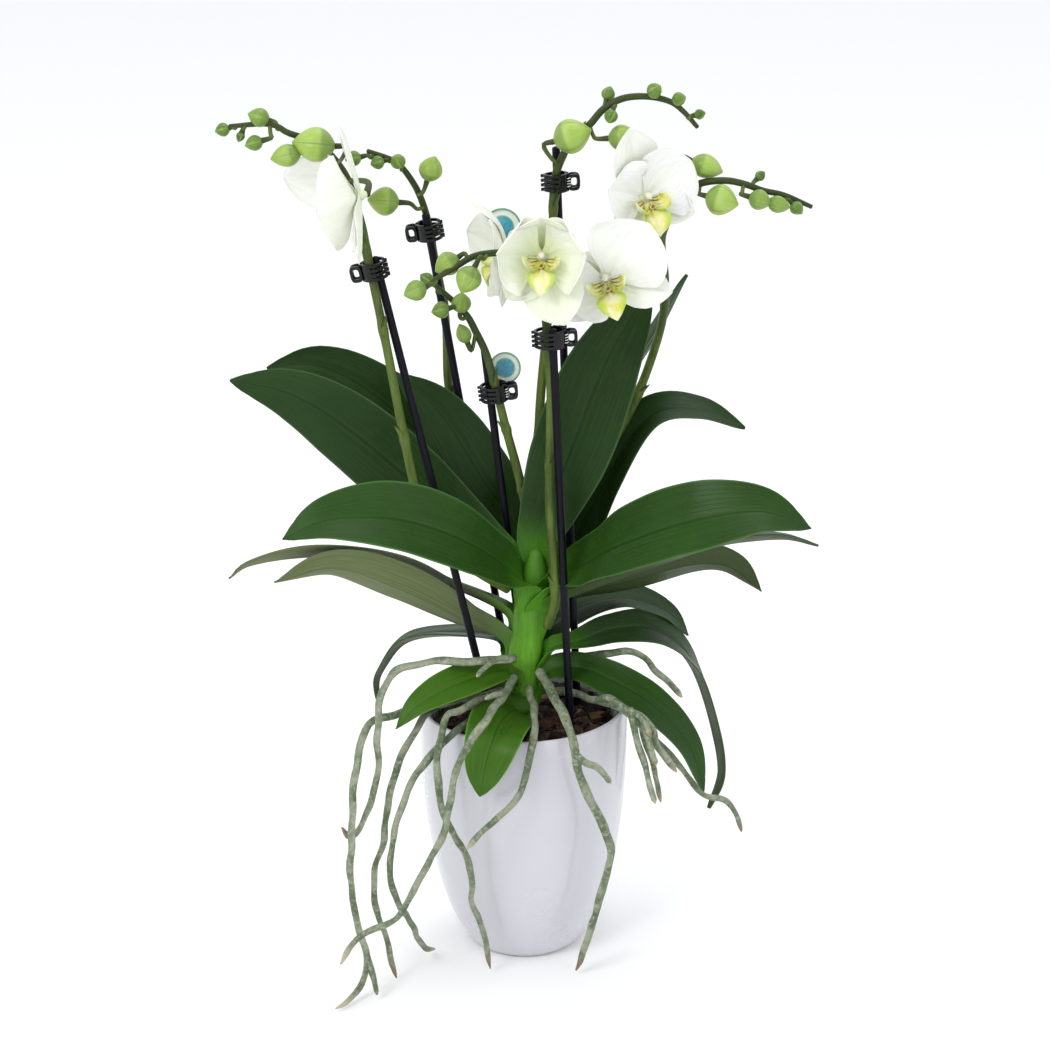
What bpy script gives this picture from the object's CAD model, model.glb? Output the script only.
"""Looks of the potted moth orchid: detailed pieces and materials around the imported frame.

Metres, +Z up, the frame's own axes. Tables of places are in millimetres, the same named
values as in the CAD part, and are turned into metres by `mm`. Only the tip of leaf 7 differs: it
hangs straight down.
"""

import math
import random

import bmesh
import bpy
from mathutils import Matrix, Vector, noise


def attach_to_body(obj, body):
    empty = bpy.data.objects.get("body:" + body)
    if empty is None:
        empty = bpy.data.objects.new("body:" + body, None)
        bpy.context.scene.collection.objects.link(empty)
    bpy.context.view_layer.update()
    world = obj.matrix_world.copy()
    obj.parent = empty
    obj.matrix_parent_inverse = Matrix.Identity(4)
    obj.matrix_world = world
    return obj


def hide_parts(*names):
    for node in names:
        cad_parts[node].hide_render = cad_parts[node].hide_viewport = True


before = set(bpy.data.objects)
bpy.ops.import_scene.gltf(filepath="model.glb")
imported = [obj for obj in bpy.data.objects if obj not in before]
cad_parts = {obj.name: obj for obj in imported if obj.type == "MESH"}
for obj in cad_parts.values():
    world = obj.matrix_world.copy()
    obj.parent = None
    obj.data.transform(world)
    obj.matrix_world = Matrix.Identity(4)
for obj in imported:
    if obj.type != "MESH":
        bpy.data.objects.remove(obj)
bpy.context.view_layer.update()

# Driving dimensions, repeated from the part
POT_HEIGHT = 0.164
POT_RIM_RADIUS = 0.065
POT_FOOT_RADIUS = 0.034
POT_WALL = 0.0022
POT_FLOOR = 0.003
NURSERY_TOP = 0.157
NURSERY_TOP_RADIUS = 0.0590
NURSERY_FOOT_RADIUS = 0.0320
NURSERY_WALL = 0.0012
BARK_TOP = 0.152
STAKE_RADIUS = 0.0024
STAKE_FOOT = 0.118
SPIKE_RADIUS = 0.0030

# A radius smaller than this is a point on the axis
NO_RADIUS = 1e-6

# Camera: place, downward pitch, view width and roll
CAMERA_PLACE = (0.0021, -1.4, 0.799)
CAMERA_PITCH = 20.38
CAMERA_VIEW = 24.1
CAMERA_ROLL = 0.5


def mm(*numbers):
    """A point in metres from its millimetres."""
    return Vector(numbers) * 0.001


def route_mm(points):
    """Points in metres from a row of points in millimetres."""
    return [mm(*point) for point in points]


# Stakes: (top, point where it enters the bark), in millimetres
STAKES = [
    ((-83, -17, 450), (-19, -8, 152)),
    ((-55, 26, 465), (-7, 44, 152)),
    ((-21, 5, 388), (3, 27, 152)),
    ((19, -24, 408), (29, -22, 152)),
    ((22, 12, 507), (34, 16, 152)),
]

# Leaves: midrib from the stem to the tip, greatest breadth, where the upper face looks, finish
LEAVES = [
    (((-6, 2, 252), (-50, 8, 289), (-103, 10, 337), (-138, 8, 361), (-173, 4, 371)), 47,
     (0.15, -1, 0.3), "dark"),
    (((6, 15, 228), (4, 38, 240), (-11, 54, 258), (-44, 56, 300), (-90, 60, 343), (-124, 62, 362),
      (-157, 62, 361)), 46, (0.1, -1, 0.35), "dark"),
    (((5, 13, 250), (0, 26, 261), (-11, 31, 279), (-24, 29, 299), (-49, 27, 342), (-74, 28, 367)), 42,
     (0.1, -1, 0.1), "dark"),
    (((-1, -12, 247), (-31, -36, 280), (-71, -56, 303), (-111, -68, 308), (-138, -72, 298)), 50,
     (-0.1, -0.6, 0.75), "middle"),
    (((-10, 8, 219), (-44, 22, 232), (-81, 24, 247), (-130, 16, 255), (-166, 8, 252), (-180, 4, 244)), 38,
     (0, 0.42, 0.9), "pale"),
    (((-12, 3, 203), (-38, 10, 215), (-74, 12, 234), (-115, 8, 250), (-152, 2, 242)), 38,
     (0, 0.8, 0.6), "pale"),
    (((-9, 16, 196), (-44, 38, 192), (-75, 46, 184), (-91, 43, 164), (-93, 40, 151), (-91, 38, 143)), 30,
     (-0.5, 0.3, 0.8), "dark"),
    (((-11, -13, 188), (-38, -32, 188), (-62, -46, 181), (-77, -53, 168)), 26, (-0.2, -0.5, 0.85), "bright"),
    (((-6, -20, 164), (-13, -48, 170), (-18, -71, 169), (-23, -77, 153), (-26, -76, 134)), 38, (0, -0.7, 0.7),
     "bright"),
    (((10, 1, 266), (17, 1, 290), (33, 1, 333), (52, 3, 382), (78, 9, 427)), 50, (-0.1, -0.95, 0.3), "dark"),
    (((11, 15, 244), (14, 32, 257), (28, 50, 290), (55, 60, 335), (84, 66, 380), (103, 66, 417)), 36,
     (-0.9, -0.1, 0.5), "dark"),
    (((14, 13, 234), (30, 34, 250), (52, 40, 294), (80, 40, 334), (110, 40, 338), (138, 38, 327)), 38,
     (0.1, -0.25, 0.95), "dark"),
    (((22, -6, 246), (40, -17, 260), (58, -33, 277), (98, -55, 300), (138, -63, 309), (168, -64, 299)), 51,
     (0.1, -0.6, 0.75), "middle"),
    (((20, -3, 230), (70, -8, 252), (118, -16, 272), (155, -20, 277), (178, -22, 272)), 40,
     (0, 0.2, 0.95), "dark"),
    (((17, 13, 219), (39, 28, 225), (68, 34, 230), (106, 40, 238), (131, 42, 235), (151, 40, 218)), 37,
     (0, 0.8, 0.6), "dark"),
    (((14, 15, 203), (28, 32, 207), (50, 44, 211), (69, 50, 209), (92, 52, 199), (106, 50, 184)), 36,
     (0.2, -0.1, 0.95), "dark"),
    (((18, -2, 198), (34, 0, 201), (56, 14, 203), (84, 29, 196), (107, 34, 172), (121, 32, 132),
      (126, 28, 98), (119, 24, 74)), 30, (0.15, -0.5, 0.85), "dark"),
    (((16, -8, 186), (34, -10, 188), (54, -21, 184), (79, -34, 173), (100, -42, 151), (110, -44, 120)), 27,
     (0.35, -0.6, 0.75), "middle"),
]

# Leaves whose blade turns on its way: where the upper face looks at the tip
LEAF_TURNS = {17: (1.0, 0.15, 0.2)}

# Flower spikes: route of the stalk from the stem to its tip
SPIKES = [
    ((-9, 3, 236), (-26, -10, 252), (-42, -19, 268), (-54, -20, 284), (-62, -19, 305), (-69, -18, 342),
     (-78, -20, 400), (-84, -21, 435), (-87, -21, 452), (-90, -10, 466), (-95, 6, 478), (-99, 10, 490),
     (-105, 11, 500), (-112, 7, 509), (-121, -4, 517), (-131, -10, 522), (-141, -10, 527), (-164, -10, 526)),
    ((14, 12, 254), (14, 25, 266), (11, 38, 280), (-4, 47, 295), (-24, 46, 312), (-37, 45, 332),
     (-44, 42, 355), (-45, 39, 400), (-51, 35, 440), (-53, 33, 455), (-56, 30, 469), (-60, 26, 481),
     (-66, 22, 492), (-71, 20, 498), (-77, 20, 501), (-88, 20, 505)),
    ((2, 7, 262), (3, 9, 284), (-2, 9, 310), (-8, 7, 335), (-12, 3, 354), (-16, 0, 372), (-20, -2, 388),
     (-26, 0, 401), (-31, -4, 412), (-40, -8, 423), (-49, -10, 432)),
    ((15, -12, 217), (20, -17, 236), (19, -21, 262), (17, -21, 294), (17, -18, 323), (18, -12, 362),
     (16, -14, 400), (13, -16, 424), (2, -21, 446), (-9, -25, 454), (-18, -28, 455), (-27, -32, 454),
     (-37, -37, 449), (-47, -41, 444), (-53, -43, 439)),
    ((12, 9, 262), (11, 16, 321), (12, 16, 353), (16, 14, 398), (19, 9, 442), (20, 6, 469), (21, 6, 490),
     (26, 3, 505), (31, 1, 514), (41, 0, 523), (49, 0, 532), (60, 0, 538), (74, 0, 539), (87, 0, 536),
     (95, 0, 530), (103, 0, 521)),
    ((18, 7, 246), (23, 20, 264), (35, 27, 286), (50, 33, 310), (70, 38, 345), (85, 36, 391), (87, 26, 423),
     (84, 12, 454), (91, 5, 475), (103, 2, 487), (118, 0, 490), (130, 0, 488), (141, 0, 484), (154, 0, 481),
     (170, 0, 474)),
]

# Buds of each spike: (point on the stalk, bud centre, bud length, bud breadth)
BUDS = [
    [((-105, 11, 500), (-116, -14, 516), 25, 20), ((-120, -3, 516), (-132, -16, 510), 18, 13),
     ((-136, -10, 524), (-147, -10, 531), 13, 11), ((-141, -10, 527), (-150, -14, 517), 11, 9),
     ((-155, -10, 527), (-158, -10, 520), 7, 5), ((-160, -10, 526), (-168, -10, 524), 9, 8)],
    [((-56, 30, 469), (-79, 16, 476), 19, 17), ((-60, 28, 479), (-51, 20, 494), 16, 14),
     ((-68, 21, 494), (-70, 14, 500), 10, 9), ((-74, 20, 500), (-82, 15, 499), 9, 8),
     ((-84, 20, 503), (-96, 18, 501), 10, 9)],
    [((-26, 0, 401), (-33, -8, 402), 13, 9), ((-31, -4, 412), (-34, -9, 421), 13, 12),
     ((-38, -7, 421), (-46, -14, 418), 11, 10), ((-45, -9, 428), (-54, -11, 436), 9, 8)],
    [((-18, -28, 455), (-29, -40, 443), 17, 15), ((-27, -32, 454), (-41, -32, 450), 16, 14),
     ((-47, -41, 444), (-59, -45, 438), 14, 12)],
    [((24, 4, 499), (31, -6, 518), 23, 20), ((41, 0, 523), (60, -8, 517), 18, 15),
     ((49, 0, 532), (52, 5, 540), 9, 8), ((56, 0, 536), (53, -7, 529), 9, 8),
     ((74, 0, 539), (78, -3, 543), 10, 9), ((87, 0, 536), (92, -3, 538), 9, 8),
     ((97, 0, 527), (104, -2, 529), 7, 6)],
    [((93, 4, 478), (109, 6, 497), 20, 14), ((105, 2, 487), (117, -7, 480), 20, 18),
     ((130, 0, 488), (139, -7, 480), 14, 12), ((141, 0, 484), (150, -6, 477), 14, 10),
     ((134, 0, 487), (140, 3, 492), 7, 6), ((154, 0, 481), (161, -3, 474), 9, 8)],
]

# Way the tip of a bud points, for buds that turn aside from their stalk: (spike, bud) as counted above
BUD_WAYS = {
    (1, 1): (-1, -0.1, 0.12), (1, 2): (-1, -0.1, -0.2), (1, 3): (-0.9, 0, 0.3), (1, 4): (-1, 0, -0.3),
    (2, 1): (-1, -0.1, 0.12), (2, 2): (0.35, -0.1, 1), (3, 1): (-0.35, -0.1, 0.9), (3, 2): (0.1, -0.2, 1),
    (3, 3): (-1, -0.1, -0.2), (4, 1): (-0.5, -0.2, -0.9), (4, 2): (-0.75, -0.1, -0.45),
    (4, 3): (-1, -0.2, -0.35),
    (5, 1): (1, -0.15, 0.35), (5, 2): (1, -0.1, 0.05), (6, 1): (1, -0.1, -0.35), (6, 2): (1, -0.2, -0.25),
    (6, 3): (1, -0.1, -0.3), (6, 4): (1, -0.1, -0.25),
}

# Joints of each stalk, where a bract sits: share of its length
SPIKE_JOINTS = [
    (0.16, 0.34, 0.52, 0.64), (0.2, 0.42, 0.62, 0.76), (0.2, 0.42, 0.6), (0.1, 0.36, 0.58, 0.72),
    (0.2, 0.42, 0.62, 0.76), (0.18, 0.36, 0.54, 0.7),
]

# Flowers: centre, where the face looks, which way the top sepal points, size of the lip
FLOWERS = [
    ((-92, -26, 489), (-1.0, -0.12, -0.10), (0.0, 0.1, 1.0), 1.0),
    ((-9, 12, 444), (-0.95, -0.30, 0.0), (-0.12, 0.0, 1.0), 0.9),
    ((13, -46, 457), (-0.05, -1.0, 0.12), (0.02, 0.1, 1.0), 1.0),
    ((50, -30, 440), (-0.05, -1.0, 0.05), (-0.30, 0.1, 0.95), 1.1),
    ((72, -12, 483), (0.50, -1.0, 0.05), (-0.28, 0.1, 1.0), 1.05),
]

# Tepals of each flower, three sepals and then two petals: angle from the top sepal in degrees,
# breadth, length and height of the base in millimetres, and how far it is open
TEPALS = [
    [(0, 22, 42, -2.0, 0.93), (158, 22, 38, -1.0, 0.90), (-140, 24, 46, -1.8, 0.95),
     (66, 42, 48, 0.8, 0.0), (-94, 56, 44, 0.8, 0.36)],
    [(0, 20, 40, -2.0, 0.45), (150, 21, 34, -2.3, 0.80), (-150, 21, 34, -1.8, 0.80),
     (70, 44, 34, 0.4, 0.50), (-82, 46, 36, 0.8, 0.52)],
    [(0, 40, 34, -2.0, 0.24), (140, 26, 33, -2.3, 0.75), (-160, 36, 42, -1.8, 0.85),
     (80, 46, 34, 0.4, 0.24), (-78, 46, 34, 0.8, 0.26)],
    [(44, 23, 26, -2.0, 0.80), (112, 26, 36, -2.3, 0.85), (-117, 27, 40, -1.8, 0.88),
     (98, 42, 30, 0.4, 0.75), (-54, 52, 44, 0.8, 0.84)],
    [(5, 32, 45, -2.0, 0.90), (125, 22, 36, -2.3, 0.80), (-122, 22, 34, -1.8, 0.75),
     (58, 40, 29, 0.4, 0.80), (-66, 46, 36, 0.8, 0.82)],
]

# Where the stalk of each flower leaves its spike: (spike number, point)
FLOWER_STALKS = [
    (1, (-99, 10, 490)), (4, (2, -21, 446)), (4, (-4, -23, 451)), (4, (13, -16, 424)), (6, (86, 12, 460)),
]

# Roots: (routes, radius); the first route of each is the main one and the others branch off it
ROOTS = [
    ([((-5, -16, 198), (-14, -23, 200), (-32, -27, 201), (-56, -28, 201), (-74, -34, 199), (-84, -48, 192),
       (-87, -63, 175), (-88, -68, 143), (-96, -70, 117), (-105, -70, 105), (-110, -70, 112)),
      ((-8, -20, 199), (-15, -30, 203), (-22, -37, 201), (-28, -42, 197))], 2.6),
    ([((-13, -9, 172), (-33, -20, 173), (-60, -32, 173), (-78, -42, 173), (-94, -58, 171), (-101, -74, 146),
       (-104, -78, 115), (-105, -80, 80), (-102, -80, 50), (-97, -80, 28), (-101, -84, 10), (-108, -92, 4),
       (-116, -100, 3)),
      ((-97, -80, 28), (-93, -82, 14), (-91, -86, 4))], 2.6),
    ([((-14, 4, 174), (-33, 0, 168), (-52, -20, 168), (-66, -50, 165), (-80, -63, 134), (-85, -67, 102),
       (-92, -68, 76), (-91, -68, 50), (-86, -66, 36), (-84, -66, 20), (-80, -64, 3))], 2.4),
    ([((-14, -11, 164), (-27, -37, 169), (-41, -56, 167), (-62, -72, 151), (-74, -80, 128), (-80, -84, 103),
       (-81, -84, 86), (-78, -80, 68), (-70, -64, 40), (-64, -42, 12), (-58, -30, 3))], 2.4),
    ([((-6, -18, 186), (-11, -44, 186), (-22, -78, 184), (-31, -87, 176), (-41, -92, 155), (-46, -94, 124),
       (-55, -96, 105), (-65, -96, 86), (-76, -96, 64), (-92, -96, 56), (-102, -96, 48), (-112, -96, 32)),
      ((-11, -44, 186), (-16, -52, 190), (-23, -57, 189))], 2.6),
    ([((-8, -16, 178), (-20, -30, 180), (-37, -53, 180), (-46, -60, 179), (-51, -72, 158), (-51, -78, 138),
       (-47, -80, 122), (-42, -78, 108), (-37, -74, 95), (-32, -70, 77), (-33, -66, 59), (-29, -62, 43),
       (-25, -58, 25), (-22, -54, 3))], 2.4),
    ([((4, -17, 178), (7, -44, 173), (5, -70, 167), (1, -75, 144), (-6, -77, 129), (-16, -80, 121),
       (-27, -86, 114), (-34, -88, 105))], 2.5),
    ([((11, -14, 188), (18, -36, 182), (26, -60, 175), (31, -71, 160), (34, -72, 145), (40, -70, 128),
       (50, -66, 102), (53, -64, 88), (49, -62, 67), (42, -59, 40), (37, -57, 18), (32, -57, 3)),
      ((31, -71, 160), (38, -76, 155), (44, -78, 153), (52, -80, 144))], 3.0),
    ([((15, -9, 172), (33, -13, 172), (45, -32, 176), (57, -46, 179), (70, -53, 176), (78, -56, 168),
       (80, -57, 158), (85, -58, 151), (92, -58, 141)),
      ((45, -32, 176), (60, -32, 170), (73, -30, 157), (88, -30, 141), (101, -30, 124), (112, -29, 110),
       (125, -28, 106), (132, -28, 98), (135, -28, 84)),
      ((70, -53, 176), (74, -62, 169), (77, -67, 159), (80, -68, 151)),
      ((45, -32, 176), (53, -46, 184), (63, -57, 182), (72, -62, 176), (76, -66, 167)),
      ((63, -57, 182), (68, -64, 165), (75, -68, 142), (80, -68, 124))], 2.7),
    ([((19, 0, 188), (35, 3, 190), (53, 6, 191), (66, 8, 192), (76, 8, 187), (82, 5, 180), (90, 2, 173),
       (99, 0, 163)),
      ((35, 3, 190), (50, 14, 181), (64, 16, 176), (72, 17, 160), (76, 17, 128), (84, 15, 106),
       (87, 14, 84))], 2.6),
]

# Clips: the side of each one's handles, -1 left and 1 right, and its height above the foot
CLIP_SIDES = [-1, -1, 1, 1, 1]
CLIP_HEIGHTS = [444, 455, 362, 402, 488]

# Tags: (centre of the disc, its radius, route of the strap to the stake that carries it)
TAGS = [
    ((-10, 44, 453), 11.5, ((-2, 44, 449), (8, 34, 446), (20, 17, 445))),
    ((-9, 15, 374), 9.5, ((-14, 15, 374), (-18, 12, 374))),
]

# Outlines as (share of the length, share of the greatest half breadth)
LEAF_OUTLINE = [(0, 0.22), (0.06, 0.40), (0.12, 0.48), (0.19, 0.46), (0.3, 0.72), (0.45, 0.96),
                (0.58, 1.0), (0.72, 0.92), (0.84, 0.70), (0.93, 0.42), (0.985, 0.13), (1, 0.03)]
SEPAL_OUTLINE = [(0, 0.30), (0.15, 0.52), (0.35, 0.88), (0.52, 1.0), (0.7, 0.93), (0.85, 0.68), (0.95, 0.36),
                 (1, 0.05)]
PETAL_OUTLINE = [(0, 0.14), (0.1, 0.26), (0.25, 0.72), (0.42, 0.98), (0.56, 1.0), (0.72, 0.92), (0.86, 0.70),
                 (0.95, 0.42), (1, 0.06)]
BRACT_OUTLINE = [(0, 0.9), (0.3, 1.0), (0.7, 0.6), (1, 0.05)]
LOBE_OUTLINE = [(0, 0.45), (0.3, 0.85), (0.6, 1.0), (0.85, 0.75), (1, 0.15)]
LIP_OUTLINE = [(0, 0.35), (0.25, 0.55), (0.5, 1.0), (0.68, 0.78), (0.85, 0.36), (1, 0.04)]


# ---------------------------------------------------------------- shapes

def smooth_route(points, step):
    """Points about `step` apart along a Catmull-Rom curve through the given points."""
    ends = [points[0] * 2 - points[1], *points, points[-1] * 2 - points[-2]]
    route = []
    for before, start, end, after in zip(ends, ends[1:], ends[2:], ends[3:]):
        count = max(1, round((end - start).length / step))
        for index in range(count):
            t = index / count
            route.append(
                0.5
                * (
                    2 * start
                    + (end - before) * t
                    + (2 * before - 5 * start + 4 * end - after) * t**2
                    + (3 * start - before - 3 * end + after) * t**3
                )
            )
    route.append(points[-1].copy())
    return route


def even_route(points, count):
    """`count` points evenly spaced along the smooth curve through the given points."""
    fine = smooth_route(points, 0.001)
    gone = [0.0]
    for low, high in zip(fine, fine[1:]):
        gone.append(gone[-1] + (high - low).length)
    route = []
    at = 0
    for index in range(count):
        want = gone[-1] * index / (count - 1)
        while at < len(fine) - 2 and gone[at + 1] < want:
            at += 1
        span = gone[at + 1] - gone[at] or 1.0
        route.append(fine[at].lerp(fine[at + 1], min(1.0, (want - gone[at]) / span)))
    return route


def level(outline, t):
    """The outline's value at t, on the straight line between its points."""
    for (low_t, low), (high_t, high) in zip(outline, outline[1:]):
        if t <= high_t:
            s = (t - low_t) / (high_t - low_t)
            return low + (high - low) * s
    return outline[-1][1]


def smooth_level(outline, t, reach=0.04):
    """The outline's value at t, averaged over a short stretch so that no corner shows."""
    if t > 0.97 or t < 0.02:
        return level(outline, t)
    return (level(outline, t - reach) + 2 * level(outline, t) + level(outline, min(1, t + reach))) / 4


def ring_quads(low, high):
    """The faces between two closed rings with the same number of points."""
    return list(zip(low, low[1:] + low[:1], high[1:] + high[:1], high))


def square_to(way, ahead):
    """The part of a direction that is square to another one, with length 1."""
    return (way - ahead * way.dot(ahead)).normalized()


def axes_at(middle, x_axis, y_axis, z_axis):
    """The placing with its origin at `middle` and the three given axes."""
    return Matrix.Translation(middle) @ Matrix((x_axis, y_axis, z_axis)).transposed().to_4x4()


class Shape:
    """The points and faces of one piece, with four painted values at each point.

    `along` runs from base to tip, `across` from edge to edge (-1 to 1) or round a tube, `upper` is 1 on
    an upper face and 0 underneath, and `tone` tells like pieces apart.
    """

    # How far the end point of a tube stands out, as a share of the radius there
    END_BULGE = 0.35

    def __init__(self):
        self.points = []
        self.faces = []
        self.paint = []

    def add(self, point, along, across, upper, tone):
        self.points.append(point)
        self.paint.append((along, across, upper, tone))
        return len(self.points) - 1

    def tube(self, route, radii, sides=12, tone=0.5, flatten=1.0, lobes=None, look=None):
        """A round body along a route with one radius for each point, closed by a point at both ends.

        `flatten` squeezes it across, `lobes` shapes its outline, and `look` is where its first side points.
        """
        rows = []
        side = None
        gone = 0.0
        last = len(route) - 1
        for index, centre in enumerate(route):
            ahead = (route[min(index + 1, last)] - route[max(index - 1, 0)]).normalized()
            if index:
                gone += (centre - route[index - 1]).length
            if side is None:
                side = Vector(look) if look else ahead.orthogonal()
            side = square_to(side, ahead)
            across = ahead.cross(side)
            row = []
            for k in range(sides):
                a = math.tau * k / sides
                r = radii[index] * (lobes(a) if lobes else 1.0)
                place = centre + side * (math.cos(a) * r) + across * (math.sin(a) * r * flatten)
                row.append(self.add(place, gone, index / last, k / sides, tone))
            rows.append(row)
        for low, high in zip(rows, rows[1:]):
            self.faces += ring_quads(low, high)
        for end, before, turn, at, share in ((0, 1, -1, 0, 0), (-1, -2, 1, gone, 1)):
            inward = (route[before] - route[end]).normalized()
            tip = self.add(route[end] - inward * radii[end] * self.END_BULGE, at, share, 0.5, tone)
            for k, point in enumerate(rows[end]):
                self.faces.append((point, rows[end][(k + 1) % sides], tip)[::turn])

    def turned(self, profile, sides, paint):
        """A body turned around Z from rings of (radius, height); a ring on the axis is one point.

        `paint` takes the ring's number, the angle and the point, and gives what `add` needs.
        """
        rows = []
        for ring, (radius, height) in enumerate(profile):
            row = []
            for k in range(1 if radius < NO_RADIUS else sides):
                a = math.tau * k / sides
                point = Vector((radius * math.cos(a), radius * math.sin(a), height))
                row.append(self.add(*paint(ring, a, point)))
            rows.append(row)
        for low, high in zip(rows, rows[1:]):
            for k in range(sides):
                corners = (low, k), (low, k + 1), (high, k + 1), (high, k)
                self.faces.append(tuple(dict.fromkeys(row[at % len(row)] for row, at in corners)))

    def ribbon(self, route, facing, breadth, outline, rows, columns, rim, middle, edge, groove=0.0,
               ripple=0.0, waves=2.0, phase=0.0, pinch=0.0, base_facing=None, ease=0.2, tone=0.5,
               round_tip=0.0, tip_facing=None):
        """A thin closed blade along a route: a leaf, a sepal, a petal, a lobe or a bract.

        `rim` folds the edges up and `pinch` folds them more near the base. `middle` and `edge` are the
        thickness, `groove` sinks the midrib, and `ripple` waves the edges `waves` times from `phase` on.
        The upper face looks to `base_facing` at the base, until `ease`, and to `tip_facing` at the tip.
        """
        centres = even_route(route, rows + 1)
        tops, unders = [], []
        for i, centre in enumerate(centres):
            u = i / rows
            ahead = (centres[min(i + 1, rows)] - centres[max(i - 1, 0)]).normalized()
            look = Vector(facing).normalized()
            if tip_facing is not None:
                look = look.lerp(Vector(tip_facing).normalized(), min(1.0, 1.6 * u) ** 2)
            if base_facing is not None and u < ease:
                look = Vector(base_facing).normalized().lerp(look, (u / ease) ** 1.5)
            side = ahead.cross(look).normalized()
            up = side.cross(ahead).normalized()
            half = breadth / 2 * smooth_level(outline, u)
            fold = rim + pinch * max(0.0, 1 - u / 0.34) ** 1.4
            top_row, under_row = [], []
            for j in range(columns + 1):
                v = math.sin(math.pi / 2 * (2 * j / columns - 1))
                lift = half * fold * abs(v) ** 1.5
                lift -= groove * math.exp(-((v / 0.10) ** 2)) * min(1, 5 * (1 - u))
                lift += ripple * v * v * math.sin(math.tau * waves * u + phase + 1.3 * v) * min(1, 3 * u)
                place = centre + side * (half * v / math.sqrt(1 + 0.6 * fold * fold)) + up * lift
                if round_tip:
                    place = place - ahead * (round_tip * half * v * v)
                thick = (middle + (edge - middle) * abs(v) ** 1.6) * min(1.0, 0.45 + 3 * (1 - u)) / 2
                top_row.append(self.add(place + up * thick, u, v, 1, tone))
                under_row.append(self.add(place - up * thick, u, v, 0, tone))
            tops.append(top_row)
            unders.append(under_row)
        for i in range(rows):
            for j in range(columns):
                self.faces.append((tops[i][j], tops[i][j + 1], tops[i + 1][j + 1], tops[i + 1][j]))
                self.faces.append((unders[i][j], unders[i + 1][j], unders[i + 1][j + 1], unders[i][j + 1]))
            for j in (0, columns):
                ring = (tops[i][j], tops[i + 1][j], unders[i + 1][j], unders[i][j])
                self.faces.append(ring if j == 0 else ring[::-1])
        for i in (0, rows):
            for j in range(columns):
                ring = (tops[i][j], unders[i][j], unders[i][j + 1], tops[i][j + 1])
                self.faces.append(ring if i == 0 else ring[::-1])

    def piece(self, name, finish, slot, *nodes):
        """Makes the object, rides it on the plant and says which CAD nodes it stands for."""
        mesh = bpy.data.meshes.new(name)
        mesh.from_pydata(self.points, [], self.faces)
        for channel, key in enumerate(("along", "across", "upper", "tone")):
            layer = mesh.attributes.new(key, "FLOAT", "POINT")
            layer.data.foreach_set("value", [values[channel] for values in self.paint])
        mesh.update()
        mesh.shade_smooth()
        return place_piece(link(name, mesh), finish, slot, *nodes)


def mesh_of(bm, name):
    """Turns a bmesh into a new mesh."""
    mesh = bpy.data.meshes.new(name)
    bm.to_mesh(mesh)
    bm.free()
    return mesh


def link(name, data):
    """A new object in the scene."""
    obj = bpy.data.objects.new(name, data)
    bpy.context.scene.collection.objects.link(obj)
    return obj


def place_piece(obj, finish, slot, *nodes):
    """Gives a piece its material, rides it on the plant and says what it stands for."""
    obj.data.materials.append(finish)
    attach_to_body(obj, "root")
    if nodes:
        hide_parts(*nodes)
    return obj


def outward(obj, sharp):
    """Turns all faces of a piece outward and keeps the edges sharp that turn more than `sharp` degrees."""
    bm = bmesh.new()
    bm.from_mesh(obj.data)
    bmesh.ops.recalc_face_normals(bm, faces=bm.faces)
    bm.to_mesh(obj.data)
    bm.free()
    obj.data.set_sharp_from_angle(angle=math.radians(sharp))


# ---------------------------------------------------------------- materials

def toned(colour, gain, plus=0.0):
    """A colour made darker or lighter."""
    return tuple(min(1, c * gain + plus) for c in colour)


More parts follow.
